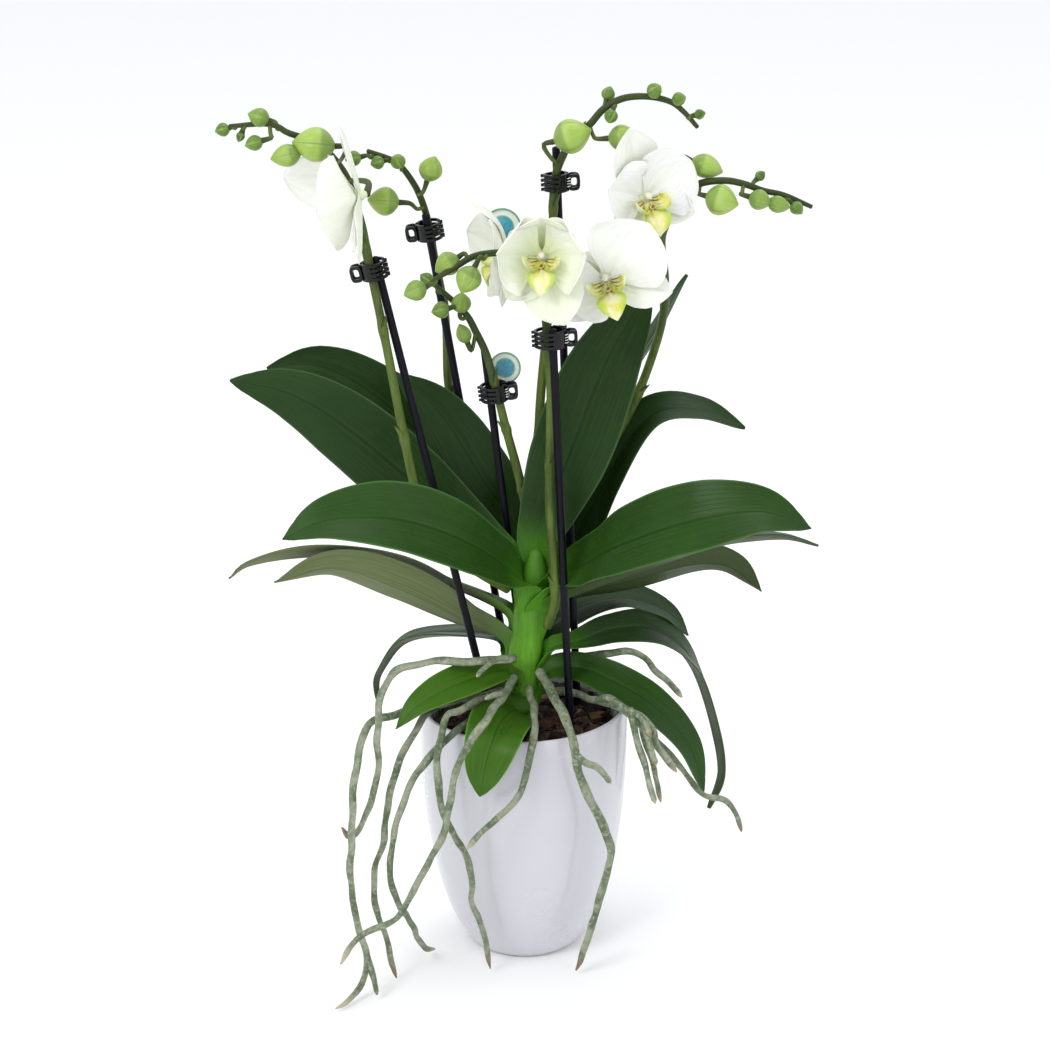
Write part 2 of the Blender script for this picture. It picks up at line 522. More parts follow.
class Nodes:
    """A short way to write a material's node tree."""

    def __init__(self, name):
        self.material = bpy.data.materials.new(name)
        self.material.use_nodes = True
        self.tree = self.material.node_tree
        self.shader = self.tree.nodes["Principled BSDF"]

    def node(self, kind, **settings):
        made = self.tree.nodes.new(kind)
        for key, value in settings.items():
            if key in made.inputs:
                self.feed(made.inputs[key], value)
            else:
                setattr(made, key, value)
        return made

    def feed(self, socket, value):
        if isinstance(value, bpy.types.NodeSocket):
            self.tree.links.new(value, socket)
        elif value is not None:
            socket.default_value = value

    def paint(self, name):
        return self.node("ShaderNodeAttribute", attribute_name=name).outputs["Fac"]

    def math(self, operation, first, second=None, clamp=False):
        made = self.node("ShaderNodeMath", operation=operation, use_clamp=clamp)
        for socket, value in zip(made.inputs, (first, second)):
            self.feed(socket, value)
        return made.outputs[0]

    def times(self, first, second, clamp=False):
        return self.math("MULTIPLY", first, second, clamp)

    def plus(self, first, second):
        return self.math("ADD", first, second)

    def wave(self, value):
        return self.math("SINE", value)

    def gap(self, value, middle):
        """How far a value is from a middle one."""
        return self.math("ABSOLUTE", self.math("SUBTRACT", value, middle))

    def flow(self, x, y, z=None):
        """A place made of painted values, so that a pattern runs along the piece."""
        return self.node("ShaderNodeCombineXYZ", X=x, Y=y, Z=z).outputs[0]

    def span(self, value, low, high, to_low=0.0, to_high=1.0):
        """Goes smoothly from `to_low` at `low` to `to_high` at `high`."""
        made = self.node("ShaderNodeMapRange", interpolation_type="SMOOTHSTEP", Value=value)
        for key, number in (("From Min", low), ("From Max", high), ("To Min", to_low), ("To Max", to_high)):
            self.feed(made.inputs[key], number)
        return made.outputs["Result"]

    def mix(self, share, first, second):
        made = self.node("ShaderNodeMix", data_type="RGBA", Factor=share)
        for key, value in (("A", first), ("B", second)):
            socket = [s for s in made.inputs if s.name == key and s.type == "RGBA"][0]
            self.feed(socket, (*value, 1) if isinstance(value, tuple) else value)
        return [s for s in made.outputs if s.type == "RGBA"][0]

    def over(self, colour, shade, value, *reach):
        """Lays a shade over a colour where `span` of the value says so."""
        return self.mix(self.span(value, *reach), colour, shade)

    def place(self):
        return self.node("ShaderNodeTexCoord").outputs["Object"]

    def noise(self, scale, detail=3.0, rough=0.5, vector=None):
        made = self.node("ShaderNodeTexNoise", Vector=self.place() if vector is None else vector,
                         Scale=scale, Detail=detail, Roughness=rough)
        return made.outputs["Fac"]

    def bump(self, height, strength, distance=0.001, normal=None):
        made = self.node("ShaderNodeBump", Strength=strength, Distance=distance, Height=height, Normal=normal)
        return made.outputs["Normal"]

    def finish(self, colour, roughness, normal=None, **fixed):
        self.feed(self.shader.inputs["Base Color"], (*colour, 1) if isinstance(colour, tuple) else colour)
        self.feed(self.shader.inputs["Roughness"], roughness)
        self.feed(self.shader.inputs["Normal"], normal)
        for key, value in fixed.items():
            self.shader.inputs[key.replace("_", " ")].default_value = value
        return self.material


def leaf_material(name, upper, lower, base, gloss):
    """A waxy strap leaf: parallel veins, sunken midrib, pale margin, duller underside."""
    n = Nodes(name)
    along, across, side = n.paint("along"), n.paint("across"), n.paint("upper")
    off_middle = n.math("ABSOLUTE", across)
    mottle = n.noise(38, 4, 0.6)
    broad = n.noise(11, 2)
    streak_place = n.flow(n.times(across, 9.0), n.times(along, 1.6), n.paint("tone"))
    streak = n.noise(2.6, 3, 0.6, streak_place)
    vein = n.wave(n.plus(n.times(across, 46), n.times(streak, 5)))
    light = toned(upper, 1.45, 0.006)
    deep = toned(upper, 0.62)
    colour = n.mix(n.span(mottle, 0.30, 0.75, 0.35, 1.0), deep, upper)
    colour = n.over(colour, light, broad, 0.35, 0.75, 0, 0.45)
    colour = n.over(colour, light, streak, 0.42, 0.72, 0, 0.30)
    colour = n.over(colour, light, vein, 0.4, 1.0, 0, 0.05)
    colour = n.over(colour, deep, off_middle, 0.0, 0.05, 0.75, 0.0)
    colour = n.over(colour, light, n.gap(off_middle, 0.075), 0.0, 0.035, 0.4, 0)
    colour = n.over(colour, toned(upper, 2.6, 0.03), off_middle, 0.93, 1.0, 0, 0.65)
    under = n.mix(n.span(streak, 0.35, 0.7), toned(lower, 0.72), lower)
    under = n.over(under, toned(lower, 1.25), vein, 0.2, 1.0, 0, 0.22)
    under = n.over(under, toned(lower, 0.45), off_middle, 0.0, 0.06, 0.6, 0.0)
    colour = n.mix(side, under, colour)
    colour = n.over(colour, base, along, 0.10, 0.30, 1, 0)
    relief = n.plus(n.times(vein, 0.35), n.times(n.noise(420, 3), 0.6))
    normal = n.bump(relief, 0.16, 0.0004, n.bump(streak, 0.22, 0.0015))
    rough = n.span(mottle, 0.3, 0.7, gloss, gloss + 0.14)
    rough = n.plus(rough, n.times(n.math("SUBTRACT", 1.0, side), 0.16))
    return n.finish(colour, rough, normal, Specular_IOR_Level=0.17,
                    Subsurface_Weight=0.06, Subsurface_Radius=(0.004, 0.008, 0.002), Subsurface_Scale=0.3)


def petal_material(name, white, shade, back):
    """A white petal: fine branching veins, cream-green throat, slight translucence and sparkle."""
    n = Nodes(name)
    along, across, side = n.paint("along"), n.paint("across"), n.paint("upper")
    place = n.flow(n.times(across, 7.0), n.times(along, 2.2), n.paint("tone"))
    wander = n.noise(1.9, 4, 0.6, place)
    fan = n.times(across, n.plus(15.0, n.times(along, 12.0)))
    vein = n.wave(n.plus(fan, n.times(wander, 9)))
    cells = n.noise(900, 2, 0.6)
    cloud = n.noise(45, 4)
    green = n.paint("tone")
    colour = n.mix(n.span(cloud, 0.35, 0.7, 0, 0.6), white, toned(white, 0.95))
    folds = n.noise(1.1, 3, 0.5, place)
    colour = n.over(colour, toned(white, 0.90), folds, 0.45, 0.70, 0, 0.55)
    colour = n.over(colour, shade, vein, 0.55, 1.0, 0, 0.035)
    reach = n.times(n.plus(green, 0.15), 0.9)
    colour = n.mix(n.times(n.span(along, 0.0, 0.62, 1, 0), reach, clamp=True), colour, shade)
    colour = n.mix(n.times(green, 0.35, clamp=True), colour, shade)
    colour = n.mix(n.times(n.math("SUBTRACT", 1.0, side), 0.45), colour, back)
    relief = n.plus(n.times(vein, 0.5), n.times(cells, 0.5))
    normal = n.bump(relief, 0.22, 0.0004, n.bump(folds, 0.35, 0.0025))
    return n.finish(colour, n.span(cells, 0.3, 0.7, 0.42, 0.56), normal, Subsurface_Weight=0.35,
                    Subsurface_Radius=(0.006, 0.0065, 0.004), Subsurface_Scale=0.35, Sheen_Weight=0.25,
                    Sheen_Roughness=0.4, Specular_IOR_Level=0.4)


def lip_material():
    """The lip: cream middle, yellow-green margins, red-brown stripes and spots towards the throat."""
    n = Nodes("lip_finish")
    along, across, tone = n.paint("along"), n.paint("across"), n.paint("tone")
    edge = n.math("ABSOLUTE", across)
    cloud = n.noise(160, 3)
    cream, yellow, green = (0.80, 0.78, 0.50), (0.72, 0.66, 0.09), (0.40, 0.54, 0.045)
    red = (0.22, 0.050, 0.025)
    colour = n.mix(n.span(cloud, 0.3, 0.7), cream, yellow)
    colour = n.over(colour, green, edge, 0.35, 0.95, 0, 0.9)
    colour = n.over(colour, (0.82, 0.84, 0.58), along, 0.72, 1.0, 0, 0.75)
    stripe = n.wave(n.plus(n.times(across, 13), n.times(cloud, 3)))
    throat = n.times(n.span(along, 0.12, 0.6, 1, 0), n.span(stripe, 0.0, 0.5), clamp=True)
    colour = n.mix(n.times(throat, n.span(tone, 0.3, 0.7)), colour, red)
    spots = n.span(n.noise(900, 1), 0.62, 0.70)
    colour = n.mix(n.times(spots, n.span(along, 0.1, 0.5, 0.8, 0)), colour, red)
    normal = n.bump(n.noise(700, 3), 0.25, 0.0005)
    return n.finish(colour, 0.38, normal, Subsurface_Weight=0.25, Subsurface_Radius=(0.005, 0.005, 0.002),
                    Subsurface_Scale=0.3, Coat_Weight=0.15, Coat_Roughness=0.25)


def column_material():
    """The column: pale green, blushed white towards its cap."""
    n = Nodes("column_finish")
    blush = n.span(n.paint("across"), 0.35, 0.95)
    cloud = n.noise(300, 3)
    colour = n.mix(blush, (0.62, 0.66, 0.38), (0.72, 0.66, 0.58))
    colour = n.over(colour, (0.86, 0.82, 0.78), cloud, 0.45, 0.75, 0, 0.5)
    return n.finish(colour, 0.35, n.bump(cloud, 0.2, 0.0004), Subsurface_Weight=0.3,
                    Subsurface_Radius=(0.005, 0.004, 0.003), Subsurface_Scale=0.3, Coat_Weight=0.2)


def stalk_material(name, colour_low, colour_high, mottle_colour, end_colour):
    """A living stalk: olive green with long streaks and darker flecks, darker towards its end."""
    n = Nodes(name)
    place = n.node("ShaderNodeMapping", Vector=n.place(), Scale=(1, 1, 0.12)).outputs[0]
    streak = n.noise(380, 4, 0.6, place)
    fleck = n.noise(150, 4, 0.7)
    broad = n.noise(24, 2)
    colour = n.mix(n.span(broad, 0.35, 0.65), colour_low, colour_high)
    colour = n.over(colour, toned(colour_high, 1.5), streak, 0.4, 0.7, 0, 0.45)
    colour = n.over(colour, mottle_colour, fleck, 0.56, 0.74, 0, 0.55)
    colour = n.over(colour, end_colour, n.paint("across"), 0.45, 0.85, 0, 0.75)
    normal = n.bump(streak, 0.3, 0.0006, n.bump(fleck, 0.2, 0.0008))
    return n.finish(colour, n.span(fleck, 0.3, 0.7, 0.36, 0.52), normal, Specular_IOR_Level=0.20)


# Radians that the fine lines and the three seams of a bud take on their way round it
BUD_LINE_TURN = 75.4
BUD_SEAM_TURN = 9.4248


def bud_material():
    """Buds: lime on the large ones, deeper green on the small ones, with pale seams."""
    n = Nodes("bud_finish")
    tone = n.paint("tone")
    cloud = n.noise(110, 4, 0.6)
    lines = n.wave(n.times(n.paint("upper"), BUD_LINE_TURN))
    mottle = n.mix(tone, (0.085, 0.175, 0.018), (0.42, 0.54, 0.17))
    colour = n.mix(tone, (0.042, 0.110, 0.007), (0.29, 0.43, 0.070))
    colour = n.over(colour, mottle, cloud, 0.35, 0.7, 0, 0.45)
    colour = n.over(colour, (0.45, 0.55, 0.22), lines, 0.3, 1.0, 0, 0.10)
    seam = n.math("ABSOLUTE", n.math("COSINE", n.times(n.paint("upper"), BUD_SEAM_TURN)))
    colour = n.over(colour, (0.085, 0.17, 0.018), seam, 0.0, 0.14, 0.85, 0)
    colour = n.over(colour, (0.42, 0.54, 0.16), seam, 0.14, 0.30, 0.35, 0)
    tip = n.span(n.paint("across"), 0.78, 1.0, 0, 0.45)
    colour = n.mix(tip, colour, (0.20, 0.33, 0.05))
    foot = n.span(n.paint("across"), 0.30, 0.42, 0.6, 0)
    colour = n.mix(foot, colour, (0.13, 0.22, 0.05))
    normal = n.bump(cloud, 0.18, 0.0008, n.bump(n.noise(800, 2), 0.12, 0.0004))
    return n.finish(colour, n.span(cloud, 0.3, 0.7, 0.26, 0.40), normal, Subsurface_Weight=0.10,
                    Subsurface_Radius=(0.004, 0.007, 0.002), Subsurface_Scale=0.3, Specular_IOR_Level=0.30)


def root_material():
    """Aerial roots: silvery corky skin over green, ochre joints, pale scars and browned tips."""
    n = Nodes("root_finish")
    share, tone = n.paint("across"), n.paint("tone")
    long_place = n.flow(n.times(n.paint("along"), 60), n.times(tone, 31))
    bands = n.noise(1.9, 4, 0.65, long_place)
    fleck = n.noise(420, 5, 0.7)
    cloud = n.noise(75, 3)
    colour = n.mix(n.span(cloud, 0.35, 0.68), (0.10, 0.14, 0.065), (0.36, 0.39, 0.28))
    colour = n.over(colour, (0.60, 0.61, 0.52), fleck, 0.46, 0.70, 0, 0.7)
    edge = n.math("ABSOLUTE", n.wave(n.times(n.paint("upper"), math.pi)))
    colour = n.mix(n.times(n.span(edge, 0.2, 0.9), 0.35), colour, (0.05, 0.08, 0.035))
    colour = n.over(colour, (0.42, 0.29, 0.14), bands, 0.60, 0.70, 0, 0.6)
    colour = n.over(colour, (0.66, 0.66, 0.57), bands, 0.26, 0.36, 0.7, 0)
    tip = n.span(share, 0.93, 0.99)
    tip_colour = n.mix(n.span(tone, 0.4, 0.6), (0.50, 0.44, 0.30), (0.22, 0.13, 0.09))
    colour = n.mix(n.times(tip, 0.8), colour, tip_colour)
    relief = n.plus(fleck, n.times(bands, 0.8))
    normal = n.bump(relief, 0.7, 0.0009, n.bump(cloud, 0.5, 0.0014))
    return n.finish(colour, n.span(fleck, 0.3, 0.7, 0.55, 0.8), normal, Specular_IOR_Level=0.35)


def bark_material():
    """Damp bark chips: each its own brown, with lengthwise fibres."""
    n = Nodes("bark_finish")
    tone = n.paint("tone")
    fibre_place = n.node("ShaderNodeMapping", Vector=n.place(), Scale=(1, 0.25, 0.6)).outputs[0]
    fibre = n.noise(320, 6, 0.75, fibre_place)
    rough = n.noise(120, 5, 0.7)
    dark = n.mix(n.span(tone, 0.0, 0.6), (0.008, 0.004, 0.003), (0.040, 0.014, 0.010))
    fibre_shade = n.mix(tone, (0.022, 0.010, 0.007), (0.26, 0.15, 0.085))
    chip = n.mix(n.span(tone, 0.78, 0.97), dark, (0.26, 0.14, 0.07))
    chip = n.over(chip, fibre_shade, fibre, 0.42, 0.7, 0, 0.6)
    normal = n.bump(n.plus(fibre, rough), 0.9, 0.0012)
    return n.finish(chip, n.span(rough, 0.3, 0.7, 0.62, 0.92), normal, Specular_IOR_Level=0.3)


def pot_material():
    """Satin white pot: faint orange-peel skin, slight unevenness in gloss and a soft coat."""
    n = Nodes("pot_finish")
    skin = n.noise(260, 3)
    cloud = n.noise(9, 3)
    smudge = n.noise(30, 4, 0.65)
    colour = n.mix(n.span(cloud, 0.3, 0.7), (0.545, 0.545, 0.590), (0.575, 0.575, 0.620))
    normal = n.bump(skin, 0.02, 0.0002)
    return n.finish(colour, n.span(smudge, 0.3, 0.75, 0.20, 0.30), normal, Coat_Weight=0.4,
                    Coat_Roughness=0.10, Specular_IOR_Level=0.5)


def clear_material():
    """The growing pot's see-through plastic, hazed in patches."""
    n = Nodes("clear_finish")
    haze = n.noise(70, 4, 0.6)
    colour = n.mix(n.span(haze, 0.3, 0.7), (0.40, 0.40, 0.36), (0.62, 0.62, 0.58))
    return n.finish(colour, n.span(haze, 0.3, 0.7, 0.18, 0.42), n.bump(haze, 0.15, 0.001), Alpha=0.45,
                    Specular_IOR_Level=0.6)


def plastic_material(name, colour, gloss, shine):
    """Dark plastic: fine grain and uneven wear."""
    n = Nodes(name)
    fine = n.noise(900, 3)
    wear = n.noise(130, 4, 0.65)
    tint = n.mix(n.span(wear, 0.35, 0.75), colour, toned(colour, 1.7, 0.001))
    return n.finish(tint, n.span(wear, 0.3, 0.7, gloss, gloss + 0.16), n.bump(fine, 0.12, 0.0003),
                    Specular_IOR_Level=shine)


def metal_material():
    """The bright wire of a clip's spring."""
    n = Nodes("spring_finish")
    wear = n.noise(400, 4)
    colour = n.mix(wear, (0.60, 0.60, 0.60), (0.80, 0.80, 0.79))
    return n.finish(colour, n.span(wear, 0.3, 0.7, 0.2, 0.38), n.bump(wear, 0.1, 0.0002), Metallic=1.0)


def tag_material():
    """A plain disc, pale with one blue-green field in the middle and a green edge."""
    n = Nodes("tag_finish")
    ring = n.paint("across")
    grain = n.noise(500, 3)
    colour = n.mix(n.span(ring, 0.56, 0.60), (0.025, 0.28, 0.40), (0.72, 0.76, 0.72))
    colour = n.over(colour, (0.12, 0.34, 0.10), n.gap(ring, 0.60), 0.02, 0.04, 0.8, 0)
    colour = n.over(colour, (0.11, 0.30, 0.12), ring, 0.88, 0.91)
    colour = n.over(colour, (0.55, 0.62, 0.60), grain, 0.4, 0.8, 0, 0.2)
    return n.finish(colour, n.span(grain, 0.3, 0.7, 0.25, 0.4), n.bump(grain, 0.1, 0.0003), Coat_Weight=0.3)


def floor_material():
    """The pale floor."""
    n = Nodes("floor_finish")
    cloud = n.noise(3, 3)
    colour = n.mix(cloud, (0.955, 0.955, 0.955), (0.965, 0.965, 0.965))
    return n.finish(colour, 0.7, n.bump(n.noise(60, 3), 0.02, 0.001))


# ---------------------------------------------------------------- pots and bark

# Cover pot: sides and rings of its wall, steps round its rim, and the rounding of its foot's edge
POT_SIDES = 160
WALL_RINGS = 36
LIP_STEPS = 8
FOOT_EDGE = 0.0006

# The growing pot's foot: radius and height of its knee outside, and its radius inside
NURSERY_KNEE = (0.0385, 0.016)
NURSERY_KNEE_INSIDE = 0.0373


def pot_radius(height):
    """Outer radius of the cover pot: nearly straight above, rounded in towards the foot."""
    t = height / POT_HEIGHT
    return POT_FOOT_RADIUS + (POT_RIM_RADIUS - POT_FOOT_RADIUS) * (1 - (1 - t) ** 2.6) ** 0.72


def turned_piece(name, profile, finish, slot, *nodes):
    """A pot turned around Z from a profile of (radius, height) whose ends lie on the axis."""
    shape = Shape()
    shape.turned(profile, POT_SIDES, lambda ring, angle, point: (point, ring, 0, 0, 0.5))
    outward(shape.piece(name, finish, slot, *nodes), 50)


def build_pots():
    """The cover pot with its rounded rim, and the growing pot inside it with a thin rolled rim."""
    rim = POT_WALL / 2
    heights = [POT_HEIGHT * (k / WALL_RINGS) ** 1.35 for k in range(1, WALL_RINGS)]
    outer = [(pot_radius(z), z) for z in heights if z < POT_HEIGHT - 2 * rim]
    lip = []
    for k in range(LIP_STEPS + 1):
        a = math.pi * k / LIP_STEPS
        lip.append((POT_RIM_RADIUS - rim + rim * math.cos(a), POT_HEIGHT - rim + rim * math.sin(a)))
    inner = [(r - POT_WALL, z) for r, z in outer[::-1] if z > 2 * POT_FLOOR]
    foot = [(0, 0), (POT_FOOT_RADIUS - 0.0008, 0), (POT_FOOT_RADIUS + FOOT_EDGE, FOOT_EDGE)]
    profile = [*foot, *outer, *lip, *inner, (POT_FOOT_RADIUS, POT_FLOOR), (0, POT_FLOOR)]
    turned_piece("pot_white_cover", profile, pot_material(), "pot_white", "cover_pot")

    low = POT_FLOOR + 0.0004
    wall, top, radius, high = NURSERY_WALL, NURSERY_TOP, NURSERY_TOP_RADIUS, NURSERY_TOP - 0.006
    outer = [(NURSERY_FOOT_RADIUS, low), NURSERY_KNEE, (radius - 0.0016, high),
             (radius - 0.0002, top - 0.005), (radius, top - 0.0006), (radius - 0.0006, top)]
    inner = [(radius - wall, top - 0.0004), (radius - wall - 0.0012, high),
             (NURSERY_KNEE_INSIDE, NURSERY_KNEE[1]), (NURSERY_FOOT_RADIUS - wall, low + wall),
             (0, low + wall)]
    turned_piece("pot_clear_inner", [(0, low), *outer, *inner], clear_material(), "clear_plastic",
                 "nursery_pot")


# The soil under the chips: its profile, and the rings of its top that wave and how high
SOIL_BED = [(0, 0.0056), (0.0290, 0.0056), (0.0355, 0.0170), (0.0556, 0.1450), (0.050, BARK_TOP - 0.004),
            (0.025, BARK_TOP - 0.003), (0, BARK_TOP - 0.003)]
SOIL_WAVED = (4, 5)
SOIL_WAVE = 0.0012

# Bark chips: how many, the radius they are strewn over, the radius they stay inside, and how a chip's
# breadth and thickness compare with its length
CHIPS = 330
CHIP_FIELD = 0.0535
CHIP_LIMIT = 0.0565
CHIP_BLOCK = (1.0, 0.62, 0.34)
CHIP_CORNERS = 14
GOLDEN_ANGLE = 2.39996


def build_bark():
    """A dark bed of soil with bark chips heaped over it, each chip an angular block of its own."""
    rng = random.Random(7)
    shape = Shape()

    def soil(ring, angle, point):
        if ring in SOIL_WAVED:
            point.z += SOIL_WAVE * math.sin(7 * angle + ring)
        return point, 0, 0, 0, 0.05

    shape.turned(SOIL_BED, 48, soil)
    for number in range(CHIPS):
        away = CHIP_FIELD * math.sqrt((number + 0.5) / CHIPS)
        angle = number * GOLDEN_ANGLE + rng.uniform(-0.2, 0.2)
        size = rng.uniform(0.0030, 0.0068)
        height = BARK_TOP - 0.0015 + rng.uniform(-0.0015, 0.0030)
        centre = Vector((away * math.cos(angle), away * math.sin(angle), height))
        if away + size > CHIP_LIMIT:
            centre *= (CHIP_LIMIT - size) / away if away > size else 1
            centre.z = BARK_TOP - 0.001
        add_chip(shape, rng, centre, size)
    outward(shape.piece("bark_chips", bark_material(), "bark", "bark_substrate"), 32)


def add_chip(shape, rng, centre, size):
    """One angular chip: the hull of a few points on a flattened block."""
    bm = bmesh.new()
    for _ in range(CHIP_CORNERS):
        point = Vector([rng.uniform(-1, 1) for _ in range(3)])
        point *= 1 / max(abs(c) for c in point)
        bm.verts.new([c * share for c, share in zip(point, CHIP_BLOCK)])
    bmesh.ops.convex_hull(bm, input=bm.verts)
    loose = [v for v in bm.verts if not v.link_faces]
    bmesh.ops.delete(bm, geom=loose, context="VERTS")
    turn = Matrix.Rotation(rng.uniform(0, 6.283), 3, "Z") @ Matrix.Rotation(rng.uniform(-0.6, 0.6), 3, "X")
    tone = rng.random() ** 1.7
    first = len(shape.points)
    bm.verts.index_update()
    for vert in bm.verts:
        shape.add(centre + turn @ (vert.co * size), 0, 0, 1, tone)
    for face in bm.faces:
        shape.faces.append(tuple(first + v.index for v in face.verts))
    bm.free()


# ---------------------------------------------------------------- stem and leaves

# Stem, in millimetres: its middle line, its radius at the ends, how much it swells in the middle, and the
# height its top tapers from
STEM_AXIS = [(0, 0, 125), (0, 0, 165), (2, 0, 200), (5, 0, 225), (8, 0, 246), (9, 1, 262)]
STEM_GIRTH = 8.2
STEM_SWELL = 1.2
STEM_SHOULDER = 235

# Points of each leaf's sheath beside the stem: how far below the leaf's start and how far from the
# stem's middle, in millimetres
LEAF_SHEATH = ((38, 5.0), (17, 10.2))

BLADE = {"outline": LEAF_OUTLINE, "rows": 64, "columns": 22, "rim": 0.20, "middle": 0.0026, "edge": 0.0008,
         "groove": 0.0009, "ripple": 0.0011, "waves": 1.4, "pinch": 0.9, "ease": 0.26}


def stem_centre(height):
    """The middle of the stem at a height, in metres."""
    for low, high in zip(STEM_AXIS, STEM_AXIS[1:]):
        if height <= high[2]:
            return mm(*low).lerp(mm(*high), (height - low[2]) / (high[2] - low[2]))
    return mm(*STEM_AXIS[-1])


def build_stem(finish):
    """The crown between the leaves: a slightly ringed, slightly flattened body."""
    foot, tip = STEM_AXIS[0][2], STEM_AXIS[-1][2]
    route = even_route(route_mm(STEM_AXIS), 44)
    radii = []
    for point in route:
        z = point.z * 1000
        girth = STEM_GIRTH + STEM_SWELL * math.sin((z - foot) / (tip - foot) * math.pi)
        girth *= 1 - 0.55 * max(0, (z - STEM_SHOULDER) / (tip - STEM_SHOULDER)) ** 1.5
        radii.append(0.001 * girth * (1 + 0.05 * math.sin(z / 4.3)))
    shape = Shape()
    shape.tube(route, radii, 28, look=(1, 0, 0), lobes=lambda a: 1 + 0.05 * math.cos(2 * a))
    shape.piece("stem_crown", finish, "stem_green", "main_stem")


def build_leaves(finishes):
    """Every leaf: a narrow sheath beside the stem, which opens into the blade."""
    for number, (points, breadth, facing, kind) in enumerate(LEAVES, 1):
        start = Vector(points[0])
        out = Vector((points[1][0] - start.x, points[1][1] - start.y, 0)).normalized()
        from_axis = Vector((start.x, start.y, 0)) - Vector((*stem_centre(start.z).xy * 1000, 0))
        if from_axis.length > 1:
            out = (out + from_axis.normalized()).normalized()
        sheath = [stem_centre(start.z - drop) * 1000 + out * away for drop, away in LEAF_SHEATH]
        shape = Shape()
        shape.ribbon(route_mm([*sheath, *points]), facing, breadth * 0.001, phase=number * 1.7,
                     tone=number * 0.37 % 1, base_facing=Vector((0, 0, 0.25)) - out,
                     tip_facing=LEAF_TURNS.get(number), **BLADE)
        shape.piece(f"leaf_{number:02d}_blade", finishes[kind], "leaf_green", f"leaf_{number:02d}")


# ---------------------------------------------------------------- spikes and buds

# Spikes: rings along a stalk, how much a joint swells, and over how many rings; then the rings of a
# bud's stalk, of a bud and of a flower's stalk
SPIKE_RINGS = 130
JOINT_SWELL = 0.22
JOINT_REACH = 1.6
BUD_STALK_RINGS = 16
BUD_STEPS = 22
FLOWER_STALK_RINGS = 20
BRACT = {"rows": 10, "columns": 8, "rim": 0.5, "middle": 0.0007, "edge": 0.0003, "tone": 0.9}


def bud_lobes(angle):
    """Three shallow seams that run up a bud."""
    return 1 - 0.12 * (1 - abs(math.cos(1.5 * angle))) ** 7


def add_bud(stalks, buds, attach, centre, length, breadth, way):
    """A bud on a bent stalk: the stalk leaves the spike, curves and swells into the bud."""
    start, middle = mm(*attach), mm(*centre)
    along = Vector(way).normalized() if way else (middle - start).normalized()
    base = middle - along * (length * 0.0005)
    reach = (base - start).length
    behind = base - along * min(0.5 * reach, 0.006)
    halfway = start.lerp(behind, 0.5) + Vector((0, -0.1, -0.25)) * min(reach, 0.008)
    stalk = even_route([start, halfway, behind, base + along * 0.001], BUD_STALK_RINGS)
    last = BUD_STALK_RINGS - 1
    stalks.tube(stalk, [0.0012 + 0.0006 * (i / last) ** 3 for i in range(BUD_STALK_RINGS)], 10)
    route, girth = [], []
    for index in range(BUD_STEPS + 1):
        t = index / BUD_STEPS
        route.append(base + along * (length * 0.001 * (0.01 + 0.98 * t)))
        swell = math.sin(math.pi * t**0.86) ** 0.72 if 0 < t < 1 else 0
        girth.append(breadth * 0.0005 * max(0.10, swell))
    buds.tube(route, girth, 36, tone=min(1.0, max(0.0, (length - 7) / 13)), lobes=bud_lobes)


def add_bract(stalks, at, ahead, side):
    """A small pointed scale that hugs the stalk at a joint."""
    route = [at, at + ahead * 0.004 + side * 0.0008, at + ahead * 0.009 + side * 0.0022]
    stalks.ribbon(route, -side, 0.0062, BRACT_OUTLINE, **BRACT)


def build_spikes(finish, bud_finish):
    """Every spike: its jointed stalk with bracts, the stalks of its flowers, and its buds."""
    last = SPIKE_RINGS - 1
    for number, (points, bud_rows, joints) in enumerate(zip(SPIKES, BUDS, SPIKE_JOINTS), 1):
        route = even_route(route_mm(points), SPIKE_RINGS)
        radii = []
        for index in range(SPIKE_RINGS):
            t = index / last
            r = SPIKE_RADIUS * (1 - 0.36 * t**1.3 - 0.22 * t**12)
            for joint in joints:
                r *= 1 + JOINT_SWELL * math.exp(-(((t - joint) * SPIKE_RINGS / JOINT_REACH) ** 2))
            radii.append(r)
        stalks, buds = Shape(), Shape()
        stalks.tube(route, radii, 16)
        for joint_number, joint in enumerate(joints):
            at = round(joint * last)
            ahead = (route[at + 3] - route[at - 3]).normalized()
            side = square_to(Vector((1 if (joint_number + number) % 2 else -1, -0.6, 0)), ahead)
            add_bract(stalks, route[at] + side * radii[at] * 0.75, ahead, side)
        for bud_number, bud in enumerate(bud_rows, 1):
            add_bud(stalks, buds, *bud, BUD_WAYS.get((number, bud_number)))
        for (spike, at), (centre, facing, _, _) in zip(FLOWER_STALKS, FLOWERS):
            if spike == number:
                behind = Vector(facing).normalized() * 0.006
                begin, back = mm(*at), mm(*centre) - behind
                bend = begin.lerp(back, 0.5) - behind + Vector((0, 0, 0.002))
                stem = even_route([begin, bend, back], FLOWER_STALK_RINGS)
                girth = [0.0014 + 0.0008 * (i / (FLOWER_STALK_RINGS - 1)) for i in range(FLOWER_STALK_RINGS)]
                stalks.tube(stem, girth, 12, tone=0.8)
        stalks.piece(f"spike_{number}_stalk", finish, "spike_green", f"flower_spike_{number}")
        buds.piece(f"spike_{number}_buds", bud_finish, "spike_green")


# ---------------------------------------------------------------- flowers

# How sepals and petals differ
SEPAL = {"outline": SEPAL_OUTLINE, "groove": 0.0008, "ripple": 0.0006}
PETAL = {"outline": PETAL_OUTLINE, "groove": 0.0010, "ripple": 0.0018}
TEPAL_STEPS = 8

# How much greener than white the tepals of a flower are
GREEN_SHARE = {2: 0.25, 3: 0.55}

